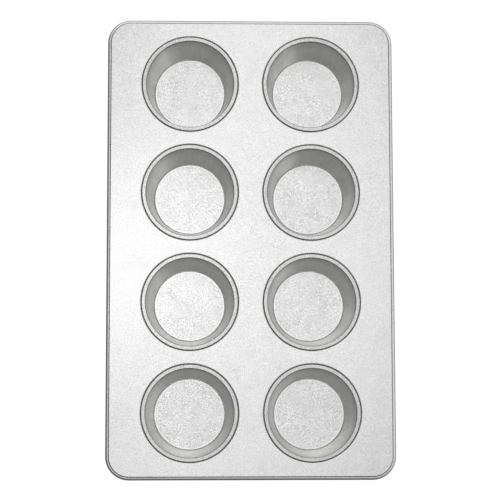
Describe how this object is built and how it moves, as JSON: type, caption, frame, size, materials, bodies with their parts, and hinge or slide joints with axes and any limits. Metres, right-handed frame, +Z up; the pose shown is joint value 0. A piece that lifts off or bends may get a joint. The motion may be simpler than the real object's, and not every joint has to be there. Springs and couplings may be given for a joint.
{
  "type": "jumbo muffin pan",
  "caption": "Rectangular metal baking pan with rounded corners, deep tapered round cups seamed into a flat top sheet, and an edge rolled round a wire.",
  "frame": {"origin": "middle of the pan's outline, on the plane that the cup bases stand on", "axes": "+Y along the pan's length, +X across its width, +Z up out of the cup mouths"},
  "size_m": [0.2824, 0.4542, 0.0514],
  "materials": {
    "sheet_steel": "satin aluminised steel, lightly mottled",
    "cup_steel": "satin aluminised steel, drawn smooth",
    "wire_steel": "plain drawn wire"
  },
  "bodies": {
    "root": {"top_sheet": "sheet_steel", "rim_wire": "wire_steel", "cup_1": "cup_steel", "cup_2": "cup_steel", "cup_3": "cup_steel", "cup_4": "cup_steel", "cup_5": "cup_steel", "cup_6": "cup_steel", "cup_7": "cup_steel", "cup_8": "cup_steel"}
  },
  "joints": []
}
